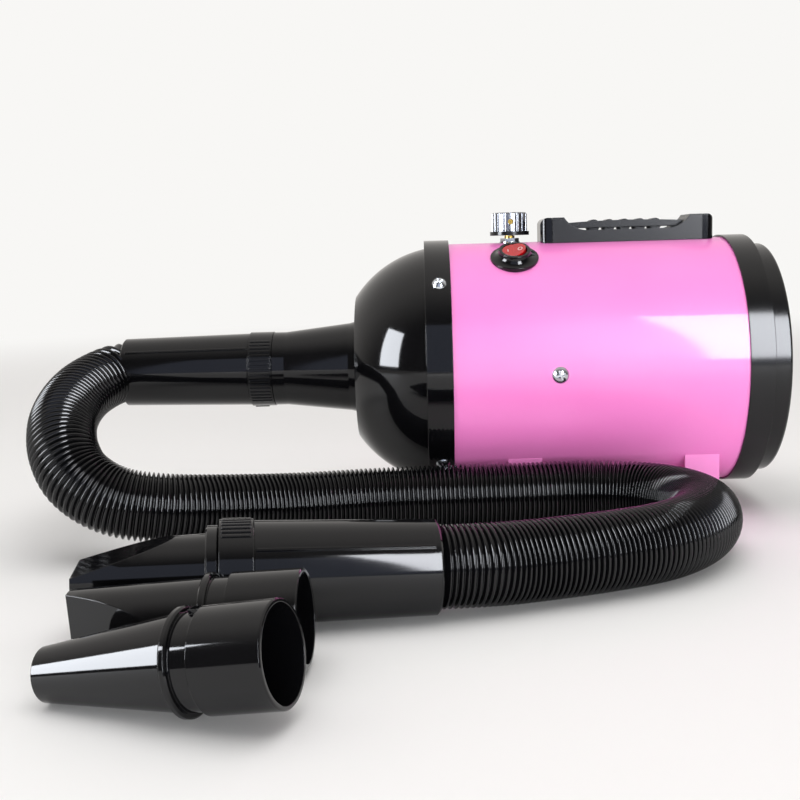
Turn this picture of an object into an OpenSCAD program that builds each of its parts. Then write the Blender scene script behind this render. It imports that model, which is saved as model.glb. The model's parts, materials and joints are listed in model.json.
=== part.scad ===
// Portable pet dryer: a steel drum with a blower motor in it, a moulded nose
// that a flexible hose plugs onto, a handset at the hose's far end and three
// air nozzles. +Z is up, -X is the way the air leaves, and the origin is on
// the floor at the centre of the four foot holes. All sizes are millimetres.

/* [Drum] */
// Outer diameter of the painted steel shell
shell_d = 180; // [170:1:190]
// Length of shell that shows between the two end mouldings
shell_show = 200; // [190:1:230]
// Sheet thickness of the shell
shell_wall = 1.2; // [0.8:0.1:2]
// Height of the drum's axis above the floor
axis_h = 105; // [102:1:125]
// How far each end moulding laps over the shell
lap = 12; // [10:1:16]
// Clearance between the shell and the mouldings
shell_fit = 0.2; // [0.1:0.05:0.4]

/* [Nose] */
// How far the nose ring stands proud of the shell
ring_proud = 3; // [2.5:0.1:5]
// Width of the nose ring
ring_w = 18; // [17:1:26]
// Wall of the nose moulding
nose_wall = 3; // [2:0.1:4]
// Step down from the ring to the dome
dome_step = 6; // [4:0.5:10]
// Radius of the dome's profile
dome_r = 82; // [78:1:90]
// How far the centre of that profile lies behind the dome's rim
dome_back = 16; // [8:1:20]
// Length of the dome along the axis
dome_len = 51.5; // [44:0.5:56]
// Diameter of the neck where it leaves the dome
neck_root_d = 69; // [66:1:78]
// Diameter of the neck at its narrow end
neck_end_d = 55; // [52:0.5:58]
// Length of the neck's cone
neck_len = 54; // [40:1:80]
// Width of the smooth ring at the neck's end
neck_ring_w = 9; // [6:1:14]

/* [Intake end] */
// How far the rear ring stands proud of the shell
rear_proud = 1.5; // [1.3:0.1:4]
// Width of the rear ring
rear_w = 17; // [16:1:26]
// How far the intake cover lies inside the rear ring
cover_step = 7; // [5:0.5:12]
// How far the intake cover stands behind the rear ring
cover_w = 13.5; // [9:0.5:20]
// Wall of the intake cover
cover_wall = 2.5; // [2:0.1:3.5]
// Width of one slot of the intake cover
slot_w = 4.5; // [3:0.5:6]
// Thickness of the foam filter
foam_t = 12; // [8:1:14]

/* [Hose coupling] */
// Outer diameter of the plugs that fit the couplings
plug_d = 45.8; // [45:0.2:47]
// Length of a plug
plug_len = 33; // [28:1:44]
// Radial clearance of a plug in its socket
plug_fit = 0.15; // [0.1:0.05:0.3]
// Diameter of the groove behind a plug
groove_d = 42; // [41:0.5:43]
// Width of that groove
groove_w = 9; // [6:1:12]
// Wall of the plugs and nozzles
plug_wall = 2; // [1.2:0.1:2.5]
// Outer diameter of a locking collar over its ribs
collar_d = 57.2; // [56:0.2:60]
// Width of a locking collar
collar_w = 17.4; // [14:0.2:22]
// Height of a collar's grip ribs
rib_h = 0.6; // [0.4:0.1:1]
// Length of a hose cuff
cuff_len = 96; // [80:1:120]
// Diameter of a cuff at its collar end
cuff_wide_d = 54.2; // [52:0.2:55]
// Diameter of a cuff at its hose end
cuff_end_d = 50.6; // [49.6:0.2:52]
// Outer diameter of the hose
hose_d = 45; // [43:0.5:46]

/* [Nozzles] */
// Diameter of a loose nozzle's flange
flange_d = 47; // [46.8:0.2:50]
// Thickness of that flange
flange_w = 3.6; // [3:0.2:6]
// Diameter of the duckbill's flange
bill_flange_d = 50; // [48:0.5:53]
// Thickness of that flange
bill_flange_w = 6.6; // [4:0.2:9]
// Diameter of a nozzle's body at the flange
nozzle_d = 42; // [40:0.5:44]
// Length of the round nozzle's cone
round_len = 68; // [50:1:90]
// Diameter of the round nozzle's tip
round_tip_d = 24.8; // [20:0.2:34]
// Length of the flat nozzle's body
flat_len = 65; // [50:1:90]
// Height of the flat nozzle's slot end
flat_tip_w = 39; // [30:1:42]
// Thickness of the flat nozzle's slot end
flat_tip_t = 10; // [7:0.5:14]
// Length of the duckbill's body
bill_len = 66; // [50:1:90]
// Width of the duckbill's lips
bill_w = 36; // [30:1:44]
// Thickness of the duckbill's lips
bill_t = 9.5; // [6:0.5:12]

/* [Controls] */
// Distance of the controls behind the shell's front edge
control_x = 46; // [44:1:60]
// Diameter of the speed knob's body
knob_d = 26; // [22:0.5:30]
// Height of the speed knob's body
knob_h = 13.8; // [10:0.2:20]
// Diameter of the speed knob's skirt
skirt_d = 29; // [26:0.5:34]
// Height of that skirt
skirt_h = 2.8; // [2:0.2:5]
// Number of flutes round the knob
knob_flutes = 18; // [12:1:30]
// Diameter of the control's shaft
shaft_d = 6; // [5:0.5:6.5]
// Diameter of the threaded bushing
bushing_d = 7.6; // [7.4:0.2:9]
// Height of the nut on the bushing
nut_h = 2.4; // [2:0.2:4]
// Diameter of the switch's bezel
bezel_d = 34; // [30:0.5:40]
// Height of that bezel
bezel_h = 7; // [5:0.5:10]
// Diameter of the rocker
rocker_d = 16.6; // [14:0.2:20]
// Angle of the switch above the drum's side
switch_angle = 61; // [45:1:66]

/* [Handle] */
// Length of the handle's base without its end caps
handle_len = 108.5; // [100:0.5:120]
// Distance of the handle's middle behind the drum's middle
handle_mid = 30.5; // [26:0.5:34]
// Width of the handle's base
handle_w = 32; // [28:1:40]
// Height of the end blocks over the shell
handle_h = 17; // [14:0.5:24]
// Length of the flat top of an end block
block_l = 8.5; // [6:0.5:11]
// Length of the hollow slope from a block down to the side walls
slope_l = 17; // [12:0.5:20]
// Height of the side walls over the shell
side_h = 7.5; // [6:0.5:9]
// Length of one end cap
cap_len = 8.5; // [6:0.5:11]
// Width of the grip
grip_w = 18; // [14:1:20]
// Thickness of the grip
grip_t = 5.2; // [4:0.2:7]
// Number of finger lobes under the grip
grip_lobes = 5; // [3:1:5]
// How far the grip pulls up
grip_travel = 18; // [12:1:24]

/* [Feet] */
// Width of a foot bracket
foot_w = 24; // [18:1:30]
// Distance of the front foot ahead of the drum's middle
foot_front = 50; // [40:1:60]
// Distance of the rear foot behind the drum's middle
foot_rear = 74; // [60:1:80]
// Spacing of the two upright plates of a foot
foot_span = 132; // [122:1:140]
// Sheet thickness of the feet
foot_t = 1.5; // [1:0.1:2.5]
// Thickness of the rubber pads
pad_t = 3; // [2:0.5:5]
// Radius of the holes in feet and pads
foot_hole_r = 2.6; // [2:0.1:3.4]
// Spacing of the foot holes across the drum
foot_hole_y = 104; // [90:1:110]

/* [Screws] */
// Head diameter of the nose ring's screws
ring_head_d = 10; // [8:0.5:12]
// Head diameter of the drum's two side screws
side_head_d = 11.5; // [9:0.5:13]
// Head diameter of the handle's screws
handle_head_d = 8; // [7:0.5:9]

/* [Electrics and lining] */
// Length of the speed control board
board_l = 52; // [48:1:56]
// Width of that board
board_w = 40; // [37:1:44]
// Width of the sound-absorbing ring
lining_w = 12; // [8:1:16]
// Thickness of that ring
lining_t = 8; // [5:0.5:9]

/* [Blower] */
// Room between the grip's stops and the fan housing
fan_clear = 0.8; // [0.5:0.1:3]
// Length of the fan housing
fan_len = 60; // [54:1:64]
// Diameter of the motor frame
motor_d = 92; // [86:1:98]
// Length of the motor frame
motor_len = 86; // [80:1:90]
// Diameter of the motor shaft
axle_d = 8; // [6:0.5:10]
// Running clearance round the motor shaft
axle_fit = 0.05; // [0.02:0.01:0.1]
// Gap between armature and stator
air_gap = 0.8; // [0.5:0.1:1.5]
// Gap between the impellers and the wall of the fan housing
impeller_gap = 4.5; // [3:0.5:8]
// Number of blades on an impeller
blades = 7; // [5:1:9]

/* [Hidden] */

$fn = 96;
eps = 0.01;
gap = 0.3;
touch = 0.05;

shell_r = shell_d / 2;
shell_in = shell_r - shell_wall;
x_mid = -(foot_rear - foot_front) / 2;
x_front = x_mid - shell_show / 2;
x_back = x_mid + shell_show / 2;

ring_r = shell_r + ring_proud;
ring_x = x_front - ring_w;
dome_rim_r = ring_r - dome_step;
dome_cx = ring_x + dome_back;
dome_cr = dome_rim_r - sqrt(dome_r * dome_r - dome_back * dome_back);
dome_x = ring_x - dome_len;
skirt_in = shell_in - shell_fit - 4;
neck_x = dome_x - neck_len;
neck_face = neck_x - neck_ring_w;
neck_flange = 5;
nose_bore = neck_root_d / 2 - 1;

rear_r = shell_r + rear_proud;
rear_x = x_back + rear_w;
cover_r = rear_r - cover_step;
cover_x = rear_x + cover_w;
seat_r = cover_r - 4.3;
guard_t = 2;
guard_x = rear_x - 13;

plug_r = plug_d / 2;
socket_r = plug_r + plug_fit;
collar_r = collar_d / 2;
cuff_end_r = cuff_end_d / 2;
hose_r = hose_d / 2;
lip_t = 5;
lip_r = hose_r - 3;
machine_collar_x = neck_face - gap - collar_w;
machine_cuff_x = machine_collar_x - gap - cuff_len;

flange_z = plug_len + groove_w;
body_z = flange_z + flange_w;
bill_z = flange_z + bill_flange_w;
bore_r = plug_r - plug_wall;

// The handset lies on its collar and on the hose end of its cuff.
wand_x = -127;
wand_y = -267;
wand_yaw = 9;
wand_tilt = atan((collar_r - cuff_end_r) / (cuff_len + gap));
wand_z = cuff_end_r * cos(wand_tilt);
wand_collar_z = cuff_len + gap;
wand_nozzle_z = wand_collar_z + collar_w + gap - flange_z;

// Each loose nozzle lies on its flange and on its tip.
round_x = -191;
round_y = -405;
round_yaw = 15;
round_tilt = atan((flange_d - round_tip_d) / 2 / round_len);
flat_x = -188;
flat_y = -348.5;
flat_yaw = 4;
flat_tilt = atan((flange_d - flat_tip_w) / 2 / flat_len);

knob_x = x_front + control_x;
top_z = axis_h + shell_r;
washer_t = 0.8;
washer_r = 7.5;
nut_af = 12;
bushing_top = top_z + washer_t + nut_h + 1.8;
knob_z = bushing_top + gap;
knob_floor = 1.6;
pot_d = 24;
pot_h = 11;
pot_z = axis_h + chord_height(shell_in, pot_d / 2) - gap - pot_h;
shaft_fit = 0.05;
rocker_fit = 0.6;
rocker_swing = 9;
switch_r = rocker_d / 2 + rocker_fit + 1.4;
switch_face = shell_r + bezel_h;
rocker_pin = switch_face - 3;
trunnion_r = 1.2;

handle_x0 = x_mid + handle_mid - handle_len / 2;
handle_x1 = handle_x0 + handle_len;
end_len = 11;
leg_l = 6;
leg_w = 12;
leg_room = 0.5;
leg_x0 = handle_x0 + end_len + 3;
leg_x1 = handle_x1 - end_len - 4 - leg_l;
stop_t = 2.4;
stop_over = 1.5;
leg_bottom = axis_h + chord_height(shell_in, leg_w / 2 + stop_over) - gap - grip_travel;
grip_z = top_z + side_h + 1.6;
tray_t = 2.4;

screw_r = 1.95;
screw_fit = 0.1;
ring_screw_angle = 43;
ring_screw_x = x_front - 8;
side_screw_x = x_mid - 27.5;
tab_r = shell_in - 6.6;
rear_screw_pcr = tab_r + 3.4;

pad_y = foot_hole_y / 2;
pad_r = 10;

bulk_x = x_mid + 12;
bulk_t = 2;
gasket_t = 3;
fan_x = bulk_x + bulk_t + gasket_t;
fan_end = fan_x + fan_len;
fan_r = leg_bottom - stop_t - fan_clear - axis_h;
fan_wall = 1.5;
impeller_r = fan_r - fan_wall - impeller_gap;
fan_eye = 24;
motor_r = motor_d / 2;
motor_x = fan_x - motor_len;
axle_r = axle_d / 2;
bearing_r = 11;
bearing_w = 7;
frame_wall = 3;
stator_in = 22;
stator_x = motor_x + 26;
stator_len = 46;
comm_r = 11;
comm_len = 12;
comm_x = motor_x + 9.5;
brush_w = 7;
stage_x = fan_x + fan_len / 2 - 3;
stage_t = 1.5;
imp_t = 1.2;
clamp_t = 3;
stud_r = 2.5;
stud_pcr = fan_r + 6;

board_angle = 140;
board_x = x_mid - 58;
board_r = 60;
gland_x = x_mid + 60;
gland_angle = 200;
gland_bore = 3.6;

shell_pink = "#ff9ce6";
black = "#1b1b1d";
steel = "#c9ccd0";
brass = "#c8a24a";

// Route of the hose's centre line, from the machine's cuff to the handset's.
hose_route = [
    [-367, -7, 104], [-374.5, -26, 100.5], [-378, -53, 96], [-378, -83, 89], [-374, -112, 80],
    [-366, -135, 67], [-353, -148, 52], [-330, -152, 39], [-298, -146, 32], [-258, -128, 27],
    [-217, -110, 23.5], [-172, -98, 22.8], [-122, -93, 22.8], [-72, -90.5, 22.8],
    [-24, -88.5, 22.8], [12, -97, 22.8], [35, -119, 22.8], [42, -152, 22.8], [30, -187, 22.8],
    [4, -216, 22.8], [-34, -236, 22.8], [-78, -252, 22.9], [-103, -261.5, 24.2]];
hose_sides = 12;
steps_per_leg = 3;

// ---- placing -------------------------------------------------------------

// Height over the axis at which a circle of radius r is half_width off centre.
function chord_height(r, half_width) = sqrt(r * r - half_width * half_width);

// Puts a shape made along +Z onto the drum's axis, so that its Z becomes X.
module along_x() { translate([0, 0, axis_h]) rotate([0, 90, 0]) children(); }

// Puts a shape made along +Z onto the drum, pointing out of it. The angle is
// counted from the drum's near side (-Y) upwards.
module outward(x, angle) { translate([x, 0, axis_h]) rotate([90 - angle, 0, 0]) children(); }

// Lays a shape made along +Z on the floor, pointing towards -X.
module lay(x, y, z, yaw, tilt) {
    translate([x, y, z]) rotate([0, 0, yaw]) rotate([0, -90 + tilt, 0]) children();
}

module on_wand() { lay(wand_x, wand_y, wand_z, wand_yaw, wand_tilt) children(); }

module tube(r_out, r_in, z0, z1) {
    translate([0, 0, z0]) difference() {
        cylinder(r = r_out, h = z1 - z0);
        translate([0, 0, -1]) cylinder(r = r_in, h = z1 - z0 + 2);
    }
}

// ---- fasteners -----------------------------------------------------------

// A pan-head screw with a cross recess, its head standing on z = 0.
module pan_screw(head_d, shank_r, shank_len) {
    head_h = head_d * 0.26;
    ball_r = (head_d * head_d / 4 + head_h * head_h) / (2 * head_h);
    difference() {
        union() {
            intersection() {
                translate([0, 0, head_h - ball_r]) sphere(r = ball_r);
                cylinder(d = head_d, h = head_h + 1);
            }
            translate([0, 0, -shank_len]) cylinder(r = shank_r, h = shank_len + eps);
        }
        for (a = [0, 90]) rotate([0, 0, a + 20])
            translate([-head_d * 0.3, -head_d * 0.06, head_h * 0.45])
                cube([head_d * 0.6, head_d * 0.12, head_h]);
    }
}

// ---- drum ----------------------------------------------------------------

module shell() {
    color(shell_pink) difference() {
        along_x() tube(shell_r, shell_in, x_front - lap, x_back + lap);
        for (s = [1, -1]) for (a = [0, 180])
            outward(ring_screw_x, a + s * ring_screw_angle)
                translate([0, 0, shell_in - 2]) cylinder(r = screw_r + screw_fit, h = 6);
        for (a = [0, 180])
            outward(side_screw_x, a)
                translate([0, 0, shell_in - 2]) cylinder(r = screw_r + screw_fit, h = 6);
        translate([knob_x, 0, axis_h]) cylinder(d = bushing_d + 0.4, h = shell_r + 2);
        outward(knob_x, switch_angle) cylinder(r = switch_r + 0.4, h = shell_r + 2);
        for (x = [leg_x0, leg_x1])
            translate([x - leg_room, -leg_w / 2 - leg_room, axis_h])
                cube([leg_l + 2 * leg_room, leg_w + 2 * leg_room, shell_r + 2]);
        for (x = handle_screw_places())
            translate([x, 0, axis_h]) cylinder(r = screw_r + screw_fit, h = shell_r + 2);
        // the gland's hole is six-sided: its flats hold the thread, so that a pull on the lead can't turn it
        outward(gland_x, gland_angle)
            cylinder(r = (gland_thread_r() + 0.2) / cos(30), h = shell_r + 2, $fn = 6);
    }
}

function gland_thread_r() = 7.8;
function handle_screw_places() = [handle_x0 + end_len / 2, handle_x1 - end_len / 2];

// Half-plane profile of the nose: the ring, the dome and its flat front.
module nose_outline(shrink) {
    r_ring = ring_r - shrink;
    translate([0, ring_x + shrink]) square([r_ring, ring_w - shrink]);
    intersection() {
        translate([dome_cr, dome_cx]) circle(r = dome_r - shrink, $fn = 180);
        translate([0, dome_x + shrink]) square([ring_r, dome_len + ring_w - shrink]);
    }
}

module nose_bell() {
    color(black) difference() {
        along_x() rotate_extrude() difference() {
            nose_outline(0);
            intersection() {
                nose_outline(nose_wall);
                translate([0, dome_x + nose_wall]) square([skirt_in, dome_len + ring_w]);
            }
            // annular slot that the shell's front edge slides into
            translate([shell_in - shell_fit, x_front - lap])
                square([shell_wall + 2 * shell_fit, lap + 1]);
            translate([0, dome_x - 1]) square([nose_bore, nose_wall + 2]);
        }
        for (s = [1, -1]) for (a = [0, 180])
            outward(ring_screw_x, a + s * ring_screw_angle)
                translate([0, 0, skirt_in - 3]) cylinder(r = screw_r + screw_fit, h = 20);
    }
}

module outlet_neck() {
    bore_root = nose_bore - 3;
    bore_tip = bore_r;
    color(black) along_x() rotate_extrude() polygon([
        [bore_root, dome_x + nose_wall + neck_flange],
        [nose_bore + 8, dome_x + nose_wall + neck_flange],
        [nose_bore + 8, dome_x + nose_wall],
        [nose_bore - touch, dome_x + nose_wall],
        [nose_bore - touch, dome_x],
        [neck_root_d / 2, dome_x],
        [neck_root_d / 2 - 1.5, dome_x - 6],
        [neck_end_d / 2, neck_x],
        [neck_end_d / 2, neck_face],
        [groove_d / 2, neck_face],
        [groove_d / 2, neck_face - groove_w],
        [plug_r, neck_face - groove_w],
        [plug_r, neck_face - groove_w - plug_len + 1],
        [plug_r - 1, neck_face - groove_w - plug_len],
        [bore_tip - 2, neck_face - groove_w - plug_len],
        [bore_tip - 2, neck_x]]);
}

module nose_screws() {
    color(steel) for (s = [1, -1]) for (a = [0, 180])
        outward(ring_screw_x, a + s * ring_screw_angle)
            translate([0, 0, ring_r]) pan_screw(ring_head_d, screw_r, ring_r - skirt_in);
}

module side_screws() {
    color(steel) for (a = [0, 180])
        outward(side_screw_x, a)
            translate([0, 0, shell_r]) pan_screw(side_head_d, screw_r, shell_r - shell_in + 5);
}

// ---- intake end ----------------------------------------------------------

module rear_ring() {
    color(black) difference() {
        along_x() rotate_extrude() difference() {
            translate([seat_r, x_back]) square([rear_r - seat_r, rear_w]);
            translate([0, x_back - 1]) square([shell_r + shell_fit, lap + 1]);
        }
        for (i = [0:3]) along_x() rotate([0, 0, 45 + 90 * i]) translate([rear_screw_pcr, 0, x_back]) {
            cylinder(r = screw_r + screw_fit, h = rear_w + 1);
            translate([0, 0, rear_w - 2.2]) cylinder(r = 3.4, h = 4);
        }
    }
}

module rear_screws() {
    color(steel) for (i = [0:3]) along_x() rotate([0, 0, 45 + 90 * i])
        translate([rear_screw_pcr, 0, rear_x - 2.2]) pan_screw(6, screw_r, 17);
}

module end_tabs() {
    color(steel) difference() {
        for (i = [0:3]) along_x() rotate([0, 0, 45 + 90 * i]) intersection() {
            translate([tab_r, -7, x_back + lap - 16]) cube([20, 14, 16]);
            translate([0, 0, x_back - 20]) cylinder(r = shell_in - touch, h = 60);
        }
        for (i = [0:3]) along_x() rotate([0, 0, 45 + 90 * i])
            translate([rear_screw_pcr, 0, x_back - 20]) cylinder(r = screw_r + screw_fit, h = 60);
    }
}

module intake_guard() {
    rim = 5;
    bars = 9;
    guard_r = tab_r - touch;
    color(steel) along_x() translate([0, 0, guard_x - guard_t]) difference() {
        cylinder(r = guard_r, h = guard_t);
        for (i = [0:bars - 1]) {
            pitch = 2 * (guard_r - rim) / bars;
            y = (i - (bars - 1) / 2) * pitch;
            half = sqrt(pow(guard_r - rim, 2) - pow(abs(y) + pitch / 2 - 1.5, 2));
            translate([-half, y - pitch / 2 + 1.5, -1]) cube([2 * half, pitch - 3, guard_t + 2]);
        }
    }
}

module filter_foam() {
    color("#3a3d42") along_x() translate([0, 0, guard_x + gap])
        cylinder(r = seat_r - 4, h = foam_t);
}

// Slots of the intake cover: rows of curved slots round a solid middle.
module intake_cover() {
    rows = 5;
    first = 20;
    row_pitch = (cover_r - cover_wall - 6 - first) / rows;
    color(black) difference() {
        along_x() rotate_extrude() difference() {
            union() {
                translate([0, rear_x + gap]) square([cover_r - 2, cover_w - gap]);
                translate([0, rear_x + gap]) square([cover_r, cover_w - gap - 2]);
                translate([cover_r - 2, cover_x - 2]) circle(r = 2, $fn = 48);
                translate([0, rear_x - 4]) square([seat_r - 0.25, 6]);
            }
            translate([0, rear_x - 5])
                square([seat_r - 0.25 - cover_wall, cover_w - cover_wall + 5]);
        }
        along_x() for (k = [0:rows - 1]) {
            r = first + k * row_pitch;
            count = 6 + 2 * k;
            span = 360 / count - 7 * 57.3 / (r + slot_w / 2) ;
            for (i = [0:count - 1]) rotate([0, 0, 360 * i / count + 11 * k])
                translate([0, 0, cover_x - cover_wall - 1])
                    rotate_extrude(angle = span) translate([r, 0]) square([slot_w, cover_wall + 2]);
        }
    }
}

// ---- feet ----------------------------------------------------------------

module foot(x) {
    half = foot_span / 2;
    plate_top = axis_h - chord_height(shell_r, half);
    color(shell_pink) difference() {
        translate([x - foot_w / 2, -half, pad_t]) cube([foot_w, foot_span, axis_h - pad_t]);
        translate([x - foot_w, -half + foot_t, pad_t + foot_t])
            cube([2 * foot_w, foot_span - 2 * foot_t, axis_h]);
        along_x() translate([0, 0, x - foot_w]) cylinder(r = shell_r + touch, h = 2 * foot_w);
        for (s = [-1, 1]) {
            translate([x - foot_w, s * (half - foot_t) - 5, plate_top - eps])
                cube([2 * foot_w, 10, axis_h]);
            translate([x, s * pad_y, 0]) cylinder(r = foot_hole_r, h = 20);
        }
    }
}

module front_foot() { foot(x_mid - foot_front); }

module rear_foot() { foot(x_mid + foot_rear); }

module foot_pads() {
    color("#202022") for (x = [x_mid - foot_front, x_mid + foot_rear]) for (s = [-1, 1])
        translate([x, s * pad_y, 0]) tube(pad_r, foot_hole_r, 0, pad_t);
}

// ---- hose and its couplings ----------------------------------------------

// Locking collar, its axis along +Z. It has two ribbed patches for the fingers,
// smooth sides between them, and a small lug that marks the locked place.
module collar() {
    r_body = collar_r - rib_h;
    rib_step = 6.5;
    difference() {
        union() {
            cylinder(r = r_body, h = collar_w);
            for (side = [0, 180]) for (i = [-8:8]) rotate([0, 0, side + i * rib_step])
                translate([r_body - 1, -0.8, 1.2]) cube([rib_h + 1, 1.6, collar_w - 2.4]);
            rotate([0, 0, 90]) translate([r_body - 1, -2.5, 1.2])
                cube([rib_h + 1, 5, collar_w * 0.6]);
        }
        translate([0, 0, -1]) cylinder(r = socket_r, h = collar_w + 2);
    }
}

// Hose cuff: its hose end at z = 0 and its collar end at z = cuff_len.
module cuff() {
    bead = 0.8;
    difference() {
        union() {
            rotate_extrude() polygon([
                [0, 0], [cuff_end_r - 1.2, 0], [cuff_end_r, 1.2],
                [cuff_wide_d / 2, cuff_len], [0, cuff_len]]);
            // raised seam line along one side
            intersection() {
                rotate_extrude() polygon([
                    [10, 4], [cuff_end_r + bead, 4],
                    [cuff_wide_d / 2 + bead, cuff_len - 1], [10, cuff_len - 1]]);
                translate([0, -0.8, 0]) cube([60, 1.6, cuff_len]);
            }
        }
        translate([0, 0, lip_t]) cylinder(r = socket_r, h = cuff_len);
        translate([0, 0, -1]) cylinder(r = lip_r, h = cuff_len);
    }
}

module machine_collar() {
    color(black) translate([machine_collar_x, 0, axis_h]) rotate([0, 90, 0])
        rotate([0, 0, -90]) collar();
}

module machine_cuff() {
    color(black) translate([machine_cuff_x, 0, axis_h]) rotate([0, 90, 0])
        rotate([0, 0, 230]) cuff();
}

module wand_cuff() { color(black) on_wand() rotate([0, 0, -50]) cuff(); }

module wand_collar() {
    color(black) on_wand() translate([0, 0, wand_collar_z]) rotate([0, 0, 19]) collar();
}

// Points of a smooth curve through the route, three to each leg.
function curve_point(p, i, t) =
    let (a = p[max(i - 1, 0)], b = p[i], c = p[i + 1], d = p[min(i + 2, len(p) - 1)])
    0.5 * (2 * b + (c - a) * t + (2 * a - 5 * b + 4 * c - d) * t * t
        + (3 * b - a - 3 * c + d) * t * t * t);
function curve(p, n) = concat(
    [for (i = [0:len(p) - 2]) for (k = [0:n - 1]) curve_point(p, i, k / n)], [p[len(p) - 1]]);
function unit(v) = v / norm(v);
function hose_ring(c, dir, r) =
    let (side = unit(cross(dir, [0, 0, 1])), up = cross(side, dir))
    [for (k = [0:hose_sides - 1]) let (a = 360 * k / hose_sides)
        c + r * (cos(a) * side + sin(a) * up)];

// A round bar swept along a line of points, square to its two ends.
module swept(line, r, first_dir, last_dir) {
    n = len(line);
    s = hose_sides;
    dirs = [for (i = [0:n - 1]) i == 0 ? unit(first_dir)
        : i == n - 1 ? unit(last_dir) : unit(line[i + 1] - line[i - 1])];
    points = [for (i = [0:n - 1]) each hose_ring(line[i], dirs[i], r)];
    faces = concat(
        [[for (k = [0:s - 1]) s - 1 - k]],
        [[for (k = [0:s - 1]) (n - 1) * s + k]],
        [for (i = [0:n - 2]) for (k = [0:s - 1])
            [i * s + k, (i + 1) * s + (k + 1) % s, (i + 1) * s + k]],
        [for (i = [0:n - 2]) for (k = [0:s - 1])
            [i * s + k, i * s + (k + 1) % s, (i + 1) * s + (k + 1) % s]]);
    polyhedron(points, faces);
}

module hose() {
    first = [machine_cuff_x, 0, axis_h];
    last = [wand_x, wand_y, wand_z];
    wand_dir = [-cos(wand_yaw) * cos(wand_tilt), -sin(wand_yaw) * cos(wand_tilt), sin(wand_tilt)];
    line = curve(concat([first], hose_route, [last]), steps_per_leg);
    color(black) swept(line, hose_r, [-1, 0, 0], wand_dir);
}

// ---- nozzles -------------------------------------------------------------

// What every nozzle has: the plug, the groove with its locking lug, the flange.
module nozzle_root(rim_r, rim_w) {
    end_z = flange_z + rim_w;
    difference() {
        union() {
            rotate_extrude() polygon([
                [0, 0], [plug_r - 0.6, 0], [plug_r, 0.6], [plug_r, plug_len],
                [groove_d / 2, plug_len], [groove_d / 2, flange_z],
                [rim_r - 0.8, flange_z], [rim_r, flange_z + 0.8],
                [rim_r, end_z - 0.8], [rim_r - 0.8, end_z], [0, end_z]]);
            translate([0, -2.5, plug_len]) cube([plug_r, 5, 5]);
        }
        translate([0, 0, -1]) cylinder(r = bore_r, h = plug_len + 1 - 4);
        translate([0, 0, plug_len - 5 + eps])
            cylinder(r1 = bore_r, r2 = nozzle_d / 2 - plug_wall, h = 5);
        cylinder(r = nozzle_d / 2 - plug_wall, h = end_z + 1);
    }
}

module round_nozzle_shape() {
    tip_r = round_tip_d / 2;
    nozzle_root(flange_d / 2, flange_w);
    difference() {
        rotate_extrude() polygon([
            [0, body_z - eps], [nozzle_d / 2, body_z - eps], [tip_r, body_z + round_len],
            [0, body_z + round_len]]);
        rotate_extrude() polygon([
            [0, body_z - 1], [nozzle_d / 2 - plug_wall, body_z - 1],
            [tip_r - plug_wall, body_z + round_len + 1], [0, body_z + round_len + 1]]);
    }
}

// A cone cut by two flats that run together towards a slot.
module flattened(len, tip_w, tip_t, start, inset) {
    r0 = nozzle_d / 2 - inset;
    rt = tip_w / 2 - inset;
    t = tip_t / 2 - inset;
    intersection() {
        cylinder(r1 = r0, r2 = rt, h = len);
        rotate([90, 0, 0]) linear_extrude(height = 2 * nozzle_d, center = true)
            polygon([[-r0 - 1, -1], [-r0 - 1, start], [-t, len + eps], [t, len + eps],
                [r0 + 1, start], [r0 + 1, -1]]);
    }
}

module flat_body(z, len, tip_w, tip_t, start) {
    translate([0, 0, z - eps]) difference() {
        flattened(len, tip_w, tip_t, start, 0);
        translate([0, 0, -eps]) flattened(len + 3 * eps, tip_w, tip_t, start - 2, plug_wall - 0.4);
    }
}

module flat_nozzle_shape() {
    nozzle_root(flange_d / 2, flange_w);
    flat_body(body_z, flat_len, flat_tip_w, flat_tip_t, 14);
}

module duckbill_nozzle_shape() {
    nozzle_root(bill_flange_d / 2, bill_flange_w);
    flat_body(bill_z, bill_len, bill_w, bill_t, 10);
}

module duckbill_nozzle() {
    color(black) on_wand() translate([0, 0, wand_nozzle_z]) duckbill_nozzle_shape();
}

module round_nozzle() {
    lift = body_z * sin(round_tilt) + flange_d / 2 * cos(round_tilt);
    color(black) lay(round_x, round_y, lift, -round_yaw, -round_tilt) round_nozzle_shape();
}

module flat_nozzle() {
    lift = body_z * sin(flat_tilt) + flange_d / 2 * cos(flat_tilt);
    color(black) lay(flat_x, flat_y, lift, -flat_yaw, -flat_tilt)
        rotate([0, 0, 90]) flat_nozzle_shape();
}

// ---- controls ------------------------------------------------------------

module speed_pot() {
    color(brass) translate([knob_x, 0, 0]) difference() {
        union() {
            translate([0, 0, pot_z]) cylinder(d = pot_d, h = pot_h);
            translate([0, 0, pot_z]) cylinder(d = bushing_d, h = bushing_top - pot_z);
        }
        translate([0, 0, pot_z + 2]) cylinder(r = shaft_d / 2 + shaft_fit, h = 60);
    }
}

module pot_washer() {
    color(steel) translate([knob_x, 0, 0])
        tube(washer_r, bushing_d / 2 + touch, top_z, top_z + washer_t);
}

module pot_nut() {
    color(steel) translate([knob_x, 0, top_z + washer_t]) difference() {
        cylinder(r = nut_af / 2 / cos(30), h = nut_h, $fn = 6);
        translate([0, 0, -1]) cylinder(r = bushing_d / 2 + touch, h = nut_h + 2);
    }
}

module pot_shaft() {
    color(steel) translate([knob_x, 0, pot_z + 2.3])
        cylinder(d = shaft_d, h = knob_z + knob_h + skirt_h - 5 - pot_z - 2.3);
}

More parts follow.
